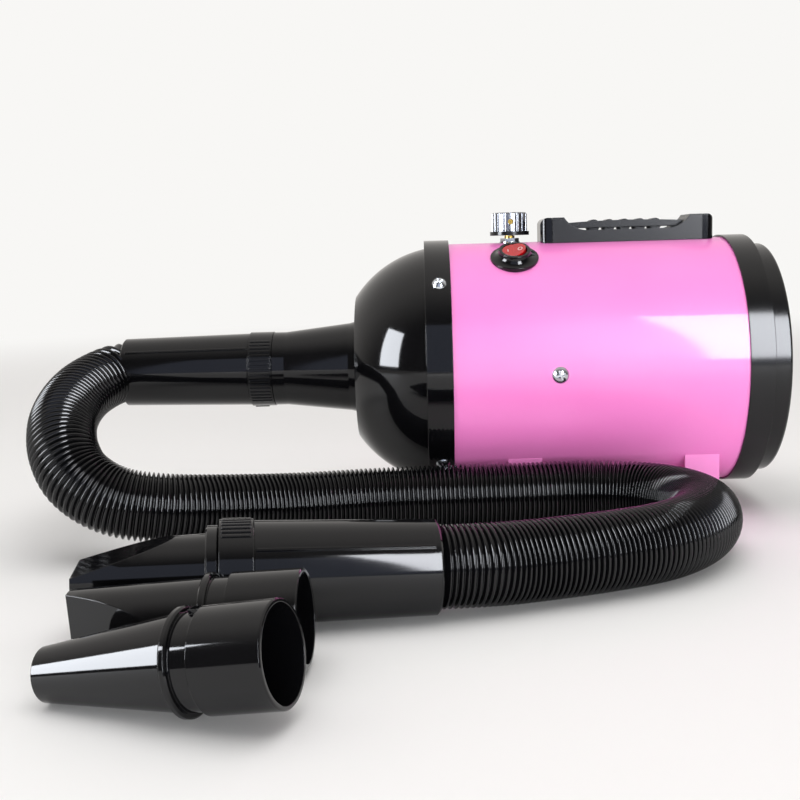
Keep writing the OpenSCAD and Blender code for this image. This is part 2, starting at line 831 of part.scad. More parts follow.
module speed_knob() {
    r = knob_d / 2;
    h = skirt_h + knob_h;
    color("#3b3b40") translate([knob_x, 0, knob_z]) difference() {
        union() {
            cylinder(d = skirt_d, h = skirt_h);
            translate([0, 0, skirt_h - eps]) cylinder(r = r, h = knob_h - 1);
            translate([0, 0, h - 1 - 2 * eps]) cylinder(r1 = r, r2 = r - 1, h = 1);
        }
        for (i = [0:knob_flutes - 1]) rotate([0, 0, (i + 0.5) * 360 / knob_flutes])
            translate([r + 0.7, 0, skirt_h]) cylinder(r = 1.5, h = knob_h + 1, $fn = 24);
        translate([0, 0, -1]) cylinder(r = shaft_d / 2 + touch, h = h - 4 + 1 + eps);
        translate([0, 0, skirt_h + knob_h / 2]) rotate([90, 0, 0]) cylinder(r = 2, h = skirt_d);
        translate([-0.5, -r + 2, h - 0.6]) cube([1, r - 4, 1]);
    }
}

module knob_screw() {
    len = knob_d / 2 - shaft_d / 2 - 2.5;
    color(brass) translate([knob_x, 0, knob_z + skirt_h + knob_h / 2]) rotate([90, 0, 0])
        translate([0, 0, shaft_d / 2 + 0.1]) difference() {
            cylinder(r = 1.9, h = len);
            translate([-3, -0.3, len - 0.8]) cube([6, 0.6, 1]);
        }
}

// The switch: a bezel that sits on the shell and a body that goes through it.
module switch_body() {
    well_r = rocker_d / 2 + rocker_fit;
    rim_r = well_r + 2.2;
    foot_h = 1.2;
    flare_w = bezel_d / 2 - rim_r;
    flare_h = bezel_h - foot_h;
    flare_r = (flare_w * flare_w + flare_h * flare_h) / (2 * flare_h);
    color(black) outward(knob_x, switch_angle) difference() {
        union() {
            difference() {
                rotate_extrude() difference() {
                    translate([0, shell_in - 8]) square([bezel_d / 2, switch_face - shell_in + 8]);
                    translate([bezel_d / 2, shell_r + foot_h + flare_r]) circle(r = flare_r);
                }
                rotate([0, 90, 0]) cylinder(r = shell_r + touch, h = 200, center = true);
            }
            translate([0, 0, shell_in - 16]) cylinder(r = switch_r, h = 20);
        }
        translate([0, 0, shell_in - 3]) cylinder(r = well_r, h = 40);
        translate([0, 0, rocker_pin]) rotate([90, 0, 0])
            cylinder(r = trunnion_r + touch, h = rocker_d + 4, center = true);
    }
}

// The rocker: a round button that see-saws on two trunnions in the bezel. Its
// left side is down, which is on.
module rocker() {
    r = rocker_d / 2;
    dish = 1.4;
    color("#d01818") outward(knob_x, switch_angle) translate([0, 0, rocker_pin])
        rotate([0, -rocker_swing, 0]) {
            intersection() {
                translate([0, 0, -3]) cylinder(r = r, h = 10);
                rotate([90, 0, 0]) linear_extrude(height = rocker_d + 2, center = true)
                    polygon([[-r - 1, -4], [-r - 1, 4], [0, 4 - dish], [r + 1, 4], [r + 1, -4]]);
            }
            rotate([90, 0, 0]) cylinder(r = trunnion_r, h = rocker_d + 3.6, center = true);
        }
}

// ---- handle --------------------------------------------------------------

// What a rounding of radius r takes off a corner at the origin, which has its
// body to the left and below.
module corner_cut(r) {
    difference() {
        translate([-r, -r]) square(r + 1);
        translate([-r, -r]) circle(r = r, $fn = 48);
    }
}

// Side view of the base: a block at each end and low side walls between, with
// a hollow slope from each block.
module handle_side() {
    drop = handle_h - side_h;
    slope_r = (slope_l * slope_l + drop * drop) / (2 * drop);
    low_x0 = handle_x0 + block_l + slope_l;
    low_x1 = handle_x1 - block_l - slope_l;
    difference() {
        translate([handle_x0, top_z - 12]) square([handle_len, handle_h + 12]);
        translate([low_x0, top_z + side_h]) square([low_x1 - low_x0, 60]);
        for (x = [low_x0, low_x1])
            translate([x, top_z + side_h + slope_r]) circle(r = slope_r, $fn = 180);
    }
}

module handle_base() {
    wall = 3.5;
    color(black) difference() {
        translate([0, handle_w / 2, 0]) rotate([90, 0, 0])
            linear_extrude(height = handle_w) handle_side();
        along_x() translate([0, 0, handle_x0 - 5]) cylinder(r = shell_r + touch, h = handle_len + 10);
        translate([handle_x0 + end_len, -handle_w / 2 + wall, top_z + tray_t])
            cube([handle_len - 2 * end_len, handle_w - 2 * wall, 60]);
        for (x = [leg_x0, leg_x1])
            translate([x - leg_room, -leg_w / 2 - leg_room, top_z - 15])
                cube([leg_l + 2 * leg_room, leg_w + 2 * leg_room, 40]);
        for (x = handle_screw_places())
            translate([x, 0, top_z - 1]) cylinder(r = screw_r, h = 9);
    }
}

// Rounded caps that close the two ends of the base.
module handle_caps() {
    corner = cap_len * 0.6;
    color(black) for (end = [[handle_x0 - touch, 180], [handle_x1 + touch, 0]]) difference() {
        translate([end[0], 0, top_z]) rotate([0, 0, end[1]]) intersection() {
            rotate([90, 0, 0]) linear_extrude(height = handle_w, center = true) difference() {
                translate([0, -10]) square([cap_len, handle_h + 10]);
                translate([cap_len, handle_h]) corner_cut(corner);
                translate([0, handle_h]) rotate(90) corner_cut(1.2);
            }
            translate([0, 0, -10]) linear_extrude(height = handle_h + 10) difference() {
                translate([0, -handle_w / 2]) square([cap_len, handle_w]);
                translate([cap_len, handle_w / 2]) corner_cut(corner);
                translate([cap_len, -handle_w / 2]) rotate(-90) corner_cut(corner);
            }
        }
        along_x() translate([0, 0, x_front - 30]) cylinder(r = shell_r + touch, h = shell_show + 60);
    }
}

// The grip: a bar with finger lobes below it and a leg at each end, which
// slides down through the base and the shell and ends in a stop.
module handle_grip() {
    bar_x0 = leg_x0 - 2;
    bar_x1 = leg_x1 + leg_l + 2;
    pitch = (leg_x1 - leg_x0 - leg_l) / (grip_lobes + 1);
    arch_r = 700;
    mid_x = (bar_x0 + bar_x1) / 2;
    color(black) {
        intersection() {
            translate([bar_x0, -grip_w / 2, grip_z]) cube([bar_x1 - bar_x0, grip_w, grip_t]);
            translate([mid_x, 0, grip_z + grip_t - arch_r]) rotate([90, 0, 0])
                cylinder(r = arch_r, h = 60, center = true, $fn = 720);
        }
        for (i = [1:grip_lobes])
            translate([leg_x0 + leg_l + i * pitch, 0, grip_z + 1.6]) rotate([90, 0, 0])
                cylinder(r = 4.4, h = grip_w - 3, center = true);
        for (x = [leg_x0, leg_x1]) {
            translate([x, -leg_w / 2, leg_bottom]) cube([leg_l, leg_w, grip_z + 2 - leg_bottom]);
            translate([x - stop_over, -leg_w / 2 - stop_over, leg_bottom - stop_t])
                cube([leg_l + 2 * stop_over, leg_w + 2 * stop_over, stop_t + eps]);
        }
    }
}

module handle_screws() {
    color(steel) for (x = handle_screw_places())
        translate([x, 0, axis_h + shell_in - 0.1]) rotate([180, 0, 0])
            pan_screw(handle_head_d, screw_r - 0.05, 8);
}

// ---- blower --------------------------------------------------------------

// Bulkhead: a steel disc with two tabs that the side screws hold.
module bulkhead() {
    r = shell_in - gap;
    color(steel) difference() {
        union() {
            along_x() tube(r, motor_r + 4, bulk_x, bulk_x + bulk_t);
            for (a = [0, 180]) intersection() {
                along_x() tube(shell_in - touch, shell_in - 2.2, side_screw_x - 9, bulk_x + bulk_t);
                outward(side_screw_x - 9, a) translate([0, -11, 0]) cube([100, 22, shell_r]);
            }
        }
        for (a = [0, 180]) outward(side_screw_x, a)
            translate([0, 0, shell_in - 6]) cylinder(r = screw_r + screw_fit, h = 10);
        along_x() at_studs() translate([0, 0, bulk_x - 1]) cylinder(r = stud_r + 0.1, h = 5);
    }
}

module fan_gasket() {
    color("#26262a") along_x()
        tube(fan_r - 2, motor_r + 6, bulk_x + bulk_t, bulk_x + bulk_t + gasket_t);
}

module fan_housing() {
    color(steel) along_x() rotate_extrude() polygon([
        [bearing_r + 15, fan_x], [fan_r, fan_x], [fan_r, fan_end], [fan_eye, fan_end],
        [fan_eye, fan_end - fan_wall], [fan_r - fan_wall, fan_end - fan_wall],
        [fan_r - fan_wall, fan_x + fan_wall], [bearing_r + 15, fan_x + fan_wall]]);
}

module stage_plate() {
    color(steel) along_x() rotate_extrude() polygon([
        [axle_r + 9, stage_x], [fan_r - fan_wall - touch, stage_x],
        [fan_r - fan_wall - touch, stage_x + stage_t], [axle_r + 9, stage_x + stage_t]]);
}

// Motor frame: an open can with an end wall that seats the front bearing and
// a spider that seats the rear one.
module motor_frame() {
    seat = bearing_r + touch;
    color("#8d9196") difference() {
        union() {
            along_x() tube(motor_r, motor_r - frame_wall, motor_x, fan_x - touch);
            along_x() tube(motor_r, seat, motor_x, motor_x + 8);
            along_x() tube(bearing_r + 4, seat, fan_x - 9, fan_x - 1);
            along_x() difference() {
                for (a = [0, 90]) rotate([0, 0, a]) translate([-motor_r + 1, -4, fan_x - 9])
                    cube([2 * motor_r - 2, 8, 8]);
                cylinder(r = seat, h = 600, center = true);
            }
        }
        for (i = [0:7]) along_x() rotate([0, 0, 22.5 + 45 * i])
            translate([24, -5, motor_x - 1]) cube([motor_r - frame_wall - 28, 10, 10]);
    }
}

module stator() {
    color("#6f6a64") along_x()
        tube(motor_r - frame_wall - touch, stator_in, stator_x, stator_x + stator_len);
}

module bearings() {
    color(steel) along_x() for (x = [motor_x, fan_x - 1 - bearing_w])
        tube(bearing_r, axle_r + axle_fit, x, x + bearing_w);
}

module motor_shaft() {
    color(steel) along_x() translate([0, 0, motor_x - 2])
        cylinder(r = axle_r, h = fan_end - 8 - motor_x + 2);
}

module armature() {
    slots = 12;
    r = stator_in - air_gap;
    color("#7c6a55") along_x() difference() {
        tube(r, axle_r, stator_x + 1, stator_x + stator_len - 1);
        for (i = [0:slots - 1]) rotate([0, 0, 360 * i / slots])
            translate([r - 2.5, -0.8, stator_x]) cube([4, 1.6, stator_len]);
    }
}

module commutator() {
    color("#b87333") along_x() tube(comm_r, axle_r, comm_x, comm_x + comm_len);
}

// An impeller: a back disc, curved blades and a front disc with an eye.
module impeller(x, width, eye) {
    r = impeller_r;
    color("#c4c8cc") along_x() translate([0, 0, x]) {
        tube(r, axle_r, 0, imp_t);
        tube(9, axle_r, 0, width - 2);
        tube(r, eye, width - imp_t, width);
        for (i = [0:blades - 1]) rotate([0, 0, 360 * i / blades]) intersection() {
            translate([r / 2 + 2, r / 2 - 6, 0])
                tube(r / 2 + 5, r / 2 + 3.8, imp_t - eps, width - imp_t + eps);
            translate([0, -r * 2, 0]) cube([r * 2, r * 2, width]);
            tube(r - 1, eye + 1, 0, width);
        }
    }
}

module impeller_front() { impeller(fan_x + 8, stage_x - fan_x - 11, fan_eye); }

module impeller_rear() {
    impeller(stage_x + stage_t + 3, fan_end - fan_wall - 3 - stage_x - stage_t - 3, fan_eye);
}

module brush_holders() {
    color(brass) along_x() for (a = [90, 270]) rotate([0, 0, a]) difference() {
        translate([comm_r + 4, -brush_w / 2 - 2, comm_x + 1])
            cube([motor_r - frame_wall - comm_r - 4.8, brush_w + 4, comm_len - 2]);
        translate([comm_r, -brush_w / 2 - 0.1, comm_x + 2.4]) cube([60, brush_w + 0.2, comm_len - 4.8]);
    }
}

module carbon_brushes() {
    color("#2b2b2b") along_x() for (a = [90, 270]) rotate([0, 0, a]) difference() {
        translate([comm_r - 1, -brush_w / 2, comm_x + 2.5]) cube([16, brush_w, comm_len - 5]);
        cylinder(r = comm_r + 0.3, h = 600, center = true);
    }
}

// The three studs' places round the fan, one of them at the bottom.
module at_studs() {
    for (i = [0:2]) rotate([0, 0, 120 * i]) translate([stud_pcr, 0, 0]) children();
}

// Clamp ring: holds the fan housing to the bulkhead by three ears.
module clamp_ring() {
    ear_r = 5.5;
    color(steel) along_x() difference() {
        union() {
            tube(fan_r, fan_r - 12, fan_end, fan_end + clamp_t);
            at_studs() translate([0, 0, fan_end]) cylinder(r = ear_r, h = clamp_t);
            at_studs() translate([fan_r - 2 - stud_pcr, -ear_r, fan_end])
                cube([stud_pcr - fan_r + 2, 2 * ear_r, clamp_t]);
        }
        at_studs() translate([0, 0, fan_end - 1]) cylinder(r = stud_r + 0.1, h = clamp_t + 2);
    }
}

module clamp_studs() {
    nut_r = 4.4;
    nut_t = 4;
    color(steel) along_x() at_studs() {
        translate([0, 0, bulk_x]) cylinder(r = stud_r, h = fan_end + clamp_t + 6 - bulk_x);
        translate([0, 0, fan_end + clamp_t]) cylinder(r = nut_r, h = nut_t, $fn = 6);
        translate([0, 0, bulk_x - nut_t]) cylinder(r = nut_r, h = nut_t, $fn = 6);
    }
}

// ---- electrics and sound -------------------------------------------------

module speed_board() {
    color("#2f6b3c") outward(board_x, board_angle) translate([0, 0, board_r])
        difference() {
            union() {
                translate([-board_l / 2, -board_w / 2, 0]) cube([board_l, board_w, 1.6]);
                translate([2, 4, 1.6]) cube([14, 12, 9]);
                for (x = [-18, -8]) translate([x, -10, 1.6]) cylinder(r = 4, h = 10);
                for (y = [4, 10]) translate([-20, y, 1.6]) cube([12, 4, 4]);
            }
            for (x = post_places()) translate([x, 0, -1]) cylinder(r = 1.7, h = 5);
        }
}

function post_places() = [4 - board_l / 2, board_l / 2 - 4];

module board_posts() {
    color(steel) intersection() {
        outward(board_x, board_angle) for (x = post_places()) translate([x, 0, board_r]) {
            translate([0, 0, 1.6]) cylinder(r = 3.2, h = 40);
            translate([0, 0, -1]) cylinder(r = 1.6, h = 10);
        }
        along_x() translate([0, 0, board_x - 60]) cylinder(r = shell_in - touch, h = 120);
    }
}

module heat_sink() {
    fins = 5;
    color("#b9bdc2") outward(board_x, board_angle) translate([-4, -18, board_r + 1.6]) {
        cube([24, 12, 2]);
        for (i = [0:fins - 1]) translate([i * 5, 0, 2 - eps]) cube([4 - 1.5, 12, 9]);
    }
}

module mains_gland() {
    t = gland_thread_r();
    color(black) outward(gland_x, gland_angle) difference() {
        union() {
            translate([0, 0, shell_in - 8]) cylinder(r = t, h = 12);
            difference() {
                translate([0, 0, shell_r - 2]) cylinder(r = 11, h = 9, $fn = 6);
                rotate([0, 90, 0]) cylinder(r = shell_r + touch, h = 200, center = true);
            }
            translate([0, 0, shell_r + 7 - eps]) cylinder(r1 = 9.5, r2 = 6.4, h = 9);
        }
        cylinder(r = gland_bore, h = 200);
    }
}

module gland_nut() {
    t = gland_thread_r();
    color(black) outward(gland_x, gland_angle) translate([0, 0, shell_in - 5.2]) difference() {
        cylinder(r = 11, h = 3.6, $fn = 6);
        translate([0, 0, -1]) cylinder(r = t + touch, h = 8);
    }
}

// Sound-absorbing lining of the shell, just behind the nose.
module noise_foam() {
    color("#4a4c50") along_x()
        tube(shell_in - touch, shell_in - lining_t, x_front + 2, x_front + 2 + lining_w);
}

shell();
nose_bell();
outlet_neck();
nose_screws();
side_screws();
rear_ring();
rear_screws();
end_tabs();
intake_guard();
filter_foam();
intake_cover();
front_foot();
rear_foot();
foot_pads();
machine_collar();
machine_cuff();
hose();
wand_cuff();
wand_collar();
duckbill_nozzle();
flat_nozzle();
round_nozzle();
speed_pot();
pot_nut();
pot_washer();
pot_shaft();
speed_knob();
knob_screw();
switch_body();
rocker();
handle_base();
handle_caps();
handle_grip();
handle_screws();
bulkhead();
fan_gasket();
fan_housing();
stage_plate();
motor_frame();
stator();
bearings();
motor_shaft();
armature();
commutator();
impeller_front();
impeller_rear();
brush_holders();
carbon_brushes();
clamp_ring();
clamp_studs();
speed_board();
board_posts();
heat_sink();
mains_gland();
gland_nut();
noise_foam();
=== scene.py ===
import json
import math
import bpy
from mathutils import Matrix, Quaternion, Vector


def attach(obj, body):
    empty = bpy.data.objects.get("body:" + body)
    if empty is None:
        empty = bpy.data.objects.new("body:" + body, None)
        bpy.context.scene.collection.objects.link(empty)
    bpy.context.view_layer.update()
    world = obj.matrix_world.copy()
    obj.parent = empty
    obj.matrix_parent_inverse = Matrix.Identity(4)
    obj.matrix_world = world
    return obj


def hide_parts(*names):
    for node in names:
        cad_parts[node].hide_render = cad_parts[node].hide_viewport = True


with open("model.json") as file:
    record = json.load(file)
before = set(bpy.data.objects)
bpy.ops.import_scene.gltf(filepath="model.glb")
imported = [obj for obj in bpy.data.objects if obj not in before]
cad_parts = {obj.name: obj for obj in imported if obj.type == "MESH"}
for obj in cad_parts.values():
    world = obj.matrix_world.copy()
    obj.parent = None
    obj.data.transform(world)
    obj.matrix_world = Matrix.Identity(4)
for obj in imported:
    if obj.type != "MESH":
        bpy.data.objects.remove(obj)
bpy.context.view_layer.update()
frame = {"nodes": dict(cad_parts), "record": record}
cadNodes = frame["nodes"]
scene = bpy.context.scene
print("frame loaded,", len(cadNodes), "nodes")


# metres and millimetres of lens, roll in degrees
camera = {
    "place": (-0.1295, -0.841, 0.1934),
    "aim": (-0.151, 0.0, 0.0785),
    "roll": -1.6,
    "lens": 50.15,
    "sensor": 36.0,
}


def makeCamera():
    data = bpy.data.cameras.new("productCamera")
    data.lens = camera["lens"]
    data.sensor_width = camera["sensor"]
    body = bpy.data.objects.new("productCamera", data)
    scene.collection.objects.link(body)
    body.location = camera["place"]
    look = Vector(camera["aim"]) - Vector(camera["place"])
    turn = look.to_track_quat("-Z", "Y") @ Quaternion((0, 0, 1), math.radians(camera["roll"]))
    body.rotation_euler = turn.to_euler()
    scene.camera = body


makeCamera()
print("camera placed")


# centre line from the machine's cuff to the handset's, as in the solids; the pitch and the grooves are
# larger near the machine, where the bend pulls the ribs apart, and stretchFades is a share of the length
hose = {
    "diameter": 0.045,
    "grooveDepth": 0.0030,
    "pitch": 0.0031,
    "stretchedDepth": 0.0050,
    "stretchedPitch": 0.0070,
    "stretchFades": 0.125,
    "sides": 40,
    "curveSteps": 24,
    "start": (-0.3585, 0.0, 0.105),
    "end": (-0.127, -0.267, 0.025285),
    "endDirection": (-0.987109, -0.156343, 0.034248),
    "route": [
        (-0.367, -0.007, 0.104), (-0.3745, -0.026, 0.1005), (-0.378, -0.053, 0.096),
        (-0.378, -0.083, 0.089), (-0.374, -0.112, 0.080), (-0.366, -0.135, 0.067),
        (-0.353, -0.148, 0.052), (-0.330, -0.152, 0.039), (-0.298, -0.146, 0.032),
        (-0.258, -0.128, 0.027), (-0.217, -0.110, 0.0235), (-0.172, -0.098, 0.0228),
        (-0.122, -0.093, 0.0228), (-0.072, -0.0905, 0.0228), (-0.024, -0.0885, 0.0228),
        (0.012, -0.097, 0.0228), (0.035, -0.119, 0.0228), (0.042, -0.152, 0.0228),
        (0.030, -0.187, 0.0228), (0.004, -0.216, 0.0228), (-0.034, -0.236, 0.0228),
        (-0.078, -0.252, 0.0229), (-0.103, -0.2615, 0.0242)],
}
# a rib from valley to valley: share of the pitch, share of the groove's depth
ribProfile = [(0.0, 1.0), (0.12, 0.78), (0.22, 0.36), (0.36, 0.08), (0.5, 0.0), (0.64, 0.08), (0.78, 0.36),
              (0.88, 0.78)]


def smoothLine(points, steps):
    # the same curve through the points as the solids have, with more steps
    line = []
    for i in range(len(points) - 1):
        a, b = points[max(i - 1, 0)], points[i]
        c, d = points[i + 1], points[min(i + 2, len(points) - 1)]
        for k in range(steps):
            t = k / steps
            line.append(0.5 * (2 * b + (c - a) * t + (2 * a - 5 * b + 4 * c - d) * t * t
                               + (3 * b - a - 3 * c + d) * t * t * t))
    return line + [points[-1]]


def walkLine(line):
    # distance along the line at each of its points
    far = [0.0]
    for a, b in zip(line, line[1:]):
        far.append(far[-1] + (b - a).length)
    return far


def sweepStations(line, far, stops, firstSide):
    # place, side and up at each stop, turning as little as possible on the way
    stations, i, side = [], 0, firstSide
    for stop in stops:
        while i < len(far) - 2 and far[i + 1] < stop:
            i += 1
        share = min(1.0, (stop - far[i]) / (far[i + 1] - far[i]))
        place = line[i].lerp(line[i + 1], share)
        before, after = line[max(i - 1, 0)], line[min(i + 2, len(line) - 1)]
        ahead = ((line[i + 1] - before).normalized().lerp((after - line[i]).normalized(), share))
        if stop == stops[0]:
            ahead = Vector((-1, 0, 0))
        if stop == stops[-1]:
            ahead = Vector(hose["endDirection"])
        side = (side - ahead * side.dot(ahead) / ahead.length_squared).normalized()
        stations.append((place, side.copy(), ahead.normalized().cross(side)))
    return stations


def makeHose():
    points = [Vector(p) for p in [hose["start"], *hose["route"], hose["end"]]]
    line = smoothLine(points, hose["curveSteps"])
    far = walkLine(line)
    length = far[-1]
    stops, depths, at = [], [], 0.0
    while True:
        # pulled open where the hose leaves the machine's cuff and bends down
        pulled = math.exp(-(at / length / hose["stretchFades"]) ** 2)
        pitch = hose["pitch"] + (hose["stretchedPitch"] - hose["pitch"]) * pulled
        groove = hose["grooveDepth"] + (hose["stretchedDepth"] - hose["grooveDepth"]) * pulled
        if at + pitch > length:
            break
        for where, depth in ribProfile:
            stops.append(at + where * pitch)
            depths.append(depth * groove)
        at += pitch
    stops.append(length)
    depths.append(hose["grooveDepth"])
    stations = sweepStations(line, far, stops, Vector((0, 1, 0)))
    sides, radius = hose["sides"], hose["diameter"] / 2
    verts, faces = [], []
    for (place, side, up), depth in zip(stations, depths):
        r = radius - depth
        for k in range(sides):
            a = 2 * math.pi * k / sides
            verts.append(place + r * (math.cos(a) * side + math.sin(a) * up))
    for i in range(len(stations) - 1):
        for k in range(sides):
            n = (k + 1) % sides
            faces.append((i * sides + k, i * sides + n, (i + 1) * sides + n, (i + 1) * sides + k))
    faces.append(tuple(reversed(range(sides))))
    last = (len(stations) - 1) * sides
    faces.append(tuple(range(last, last + sides)))
    mesh = bpy.data.meshes.new("ribbedHose")
    mesh.from_pydata(verts, [], faces)
    piece = bpy.data.objects.new("ribbedHose", mesh)
    scene.collection.objects.link(piece)
    select(piece)
    bpy.ops.object.mode_set(mode="EDIT")
    bpy.ops.mesh.select_all(action="SELECT")
    bpy.ops.mesh.normals_make_consistent(inside=False)
    bpy.ops.object.mode_set(mode="OBJECT")
    bpy.ops.object.shade_smooth()
    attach(piece, "housing")
    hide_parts("hose")
    print(f"hose made, {length:.3f} m long, {len(stops)} stations")
    return piece


def select(piece):
    bpy.ops.object.select_all(action="DESELECT")
    piece.select_set(True)
    bpy.context.view_layer.objects.active = piece


ribbedHose = makeHose()


def hexColor(text):
    # sRGB hex to linear RGBA
    parts = [int(text[i:i + 2], 16) / 255 for i in (1, 3, 5)]
    linear = [c / 12.92 if c <= 0.04045 else ((c + 0.055) / 1.055) ** 2.4 for c in parts]
    return (*linear, 1.0)


def addNode(tree, kind, settings=None, links=None):
    node = tree.nodes.new(kind)
    for key, value in (settings or {}).items():
        if key in node.inputs:
            node.inputs[key].default_value = value
        else:
            setattr(node, key, value)
    for key, source in (links or {}).items():
        tree.links.new(source, node.inputs[key])
    return node


def newMaterial(name, **settings):
    material = bpy.data.materials.new(name)
    material.use_nodes = True
    tree = material.node_tree
    shader = tree.nodes["Principled BSDF"]
    for key, value in settings.items():
        shader.inputs[key.replace("_", " ")].default_value = value
    return material, tree, shader


paint = {"light": "#FD8BD7", "dark": "#FB85D3", "roughness": 0.42, "coat": 0.5, "coatRoughness": 0.07,
         "driftScale": 14.0, "peelScale": 420.0, "peelStrength": 0.03, "peelHeight": 0.0002}


# powder coat on steel: an even colour with a faint orange peel, and one soft bright reflection
def pinkPaint():
    material, tree, shader = newMaterial("orchidPinkPaint", Roughness=paint["roughness"], IOR=1.45,
                                         Coat_Weight=paint["coat"], Coat_Roughness=paint["coatRoughness"])
    where = addNode(tree, "ShaderNodeTexCoord")
    drift = addNode(tree, "ShaderNodeTexNoise", {"Scale": paint["driftScale"], "Detail": 2.0},
                    {"Vector": where.outputs["Object"]})
    colour = addNode(tree, "ShaderNodeValToRGB", links={"Fac": drift.outputs["Fac"]})
    colour.color_ramp.elements[0].position = 0.3
    colour.color_ramp.elements[0].color = hexColor(paint["dark"])
    colour.color_ramp.elements[1].position = 0.7
    colour.color_ramp.elements[1].color = hexColor(paint["light"])
    tree.links.new(colour.outputs["Color"], shader.inputs["Base Color"])
    peel = addNode(tree, "ShaderNodeTexNoise", {"Scale": paint["peelScale"], "Detail": 1.0},
                   {"Vector": where.outputs["Object"]})
    bump = addNode(tree, "ShaderNodeBump",
                   {"Strength": paint["peelStrength"], "Distance": paint["peelHeight"]},
                   {"Height": peel.outputs["Fac"]})
    tree.links.new(bump.outputs["Normal"], shader.inputs["Normal"])
    return material


# moulded plastic: near-black, gloss uneven by a little, edges softened by the mould;
# edge is the rounding's radius, grainSize the texture's, both in metres
def mouldedBlack(name, light, dark, roughness, spread, edge, grainSize=0.0012, grain=0.02):
    material, tree, shader = newMaterial(name, IOR=1.43)
    where = addNode(tree, "ShaderNodeTexCoord")
    drift = addNode(tree, "ShaderNodeTexNoise", {"Scale": 22.0, "Detail": 4.0},
                    {"Vector": where.outputs["Object"]})
    colour = addNode(tree, "ShaderNodeValToRGB", links={"Fac": drift.outputs["Fac"]})
    colour.color_ramp.elements[0].position = 0.35
    colour.color_ramp.elements[0].color = hexColor(dark)
    colour.color_ramp.elements[1].position = 0.65
    colour.color_ramp.elements[1].color = hexColor(light)
    tree.links.new(colour.outputs["Color"], shader.inputs["Base Color"])
    gloss = addNode(tree, "ShaderNodeMapRange", {"To Min": roughness - spread, "To Max": roughness + spread},
                    {"Value": drift.outputs["Fac"]})
    tree.links.new(gloss.outputs["Result"], shader.inputs["Roughness"])
    pores = addNode(tree, "ShaderNodeTexNoise", {"Scale": 1 / grainSize, "Detail": 2.0},
                    {"Vector": where.outputs["Object"]})
    rounded = addNode(tree, "ShaderNodeBevel", {"samples": 4, "Radius": edge})
    bump = addNode(tree, "ShaderNodeBump", {"Strength": grain, "Distance": 0.0001},
                   {"Height": pores.outputs["Fac"], "Normal": rounded.outputs["Normal"]})
    tree.links.new(bump.outputs["Normal"], shader.inputs["Normal"])
    return material


# metal: tint and gloss from its finish, with fine turning or drawing marks
def plainMetal(name, tint, roughness, marks=0.05, markSize=0.0004):
    material, tree, shader = newMaterial(name, Metallic=1.0)
    where = addNode(tree, "ShaderNodeTexCoord")
    drift = addNode(tree, "ShaderNodeTexNoise", {"Scale": 1 / markSize, "Detail": 3.0},
                    {"Vector": where.outputs["Object"]})
    shade = addNode(tree, "ShaderNodeMixRGB",
                    {"blend_type": "MULTIPLY", "Fac": 0.12, "Color1": hexColor(tint)},
                    {"Color2": drift.outputs["Color"]})
    tree.links.new(shade.outputs["Color"], shader.inputs["Base Color"])
    gloss = addNode(tree, "ShaderNodeMapRange", {"To Min": roughness * 0.7, "To Max": roughness * 1.4},
                    {"Value": drift.outputs["Fac"]})
    tree.links.new(gloss.outputs["Result"], shader.inputs["Roughness"])
    bump = addNode(tree, "ShaderNodeBump", {"Strength": marks, "Distance": 0.00005},
                   {"Height": drift.outputs["Fac"]})
    tree.links.new(bump.outputs["Normal"], shader.inputs["Normal"])
    return material


knob = {"skirtTop": 0.2031, "sharpness": 0.00002, "chrome": "#8E9095", "skirt": "#0E0E10",
        "smoothest": 0.15, "roughest": 0.20}


# turned knob: a chromed body, with a skirt of black plastic below it
def chromedKnob():
    material, tree, shader = newMaterial("chromedKnob")
    where = addNode(tree, "ShaderNodeTexCoord")
    place = addNode(tree, "ShaderNodeSeparateXYZ", links={"Vector": where.outputs["Object"]})
    body = addNode(tree, "ShaderNodeMapRange", {"From Min": knob["skirtTop"] - knob["sharpness"],
                                                "From Max": knob["skirtTop"] + knob["sharpness"]},
                   {"Value": place.outputs["Z"]})
    scuffs = addNode(tree, "ShaderNodeTexNoise", {"Scale": 900.0, "Detail": 2.0},
                     {"Vector": where.outputs["Object"]})
    gloss = addNode(tree, "ShaderNodeMapRange", {"To Min": knob["smoothest"], "To Max": knob["roughest"]},
                    {"Value": scuffs.outputs["Fac"]})
    colour = addNode(tree, "ShaderNodeMixRGB", {"Color1": hexColor(knob["skirt"]),
                                                "Color2": hexColor(knob["chrome"])},
                     {"Fac": body.outputs["Result"]})
    tree.links.new(colour.outputs["Color"], shader.inputs["Base Color"])
    tree.links.new(body.outputs["Result"], shader.inputs["Metallic"])
    tree.links.new(gloss.outputs["Result"], shader.inputs["Roughness"])
    rounded = addNode(tree, "ShaderNodeBevel", {"samples": 4, "Radius": 0.0003})
    tree.links.new(rounded.outputs["Normal"], shader.inputs["Normal"])
    return material


foam = {"shadedPit": "#202226", "wall": "#4A4D52", "cellScale": 700.0}


# open-cell foam: dark grey with pores of about a millimetre, the pores' hollows painted darker as shade
def openFoam():
    material, tree, shader = newMaterial("openCellFoam", Roughness=0.95)
    where = addNode(tree, "ShaderNodeTexCoord")
    cells = addNode(tree, "ShaderNodeTexVoronoi", {"Scale": foam["cellScale"]},
                    {"Vector": where.outputs["Object"]})
    # painted shade: the darker colour sits at the bottom of each pore, where the bump is lowest
    colour = addNode(tree, "ShaderNodeMixRGB",
                     {"Color1": hexColor(foam["shadedPit"]), "Color2": hexColor(foam["wall"])},
                     {"Fac": cells.outputs["Distance"]})
    tree.links.new(colour.outputs["Color"], shader.inputs["Base Color"])
    bump = addNode(tree, "ShaderNodeBump", {"Strength": 0.6, "Distance": 0.0005},
                   {"Height": cells.outputs["Distance"]})
    tree.links.new(bump.outputs["Normal"], shader.inputs["Normal"])
    return material


acrylic = {"deep": "#A80C15", "light": "#C4161D", "scatter": 0.003}


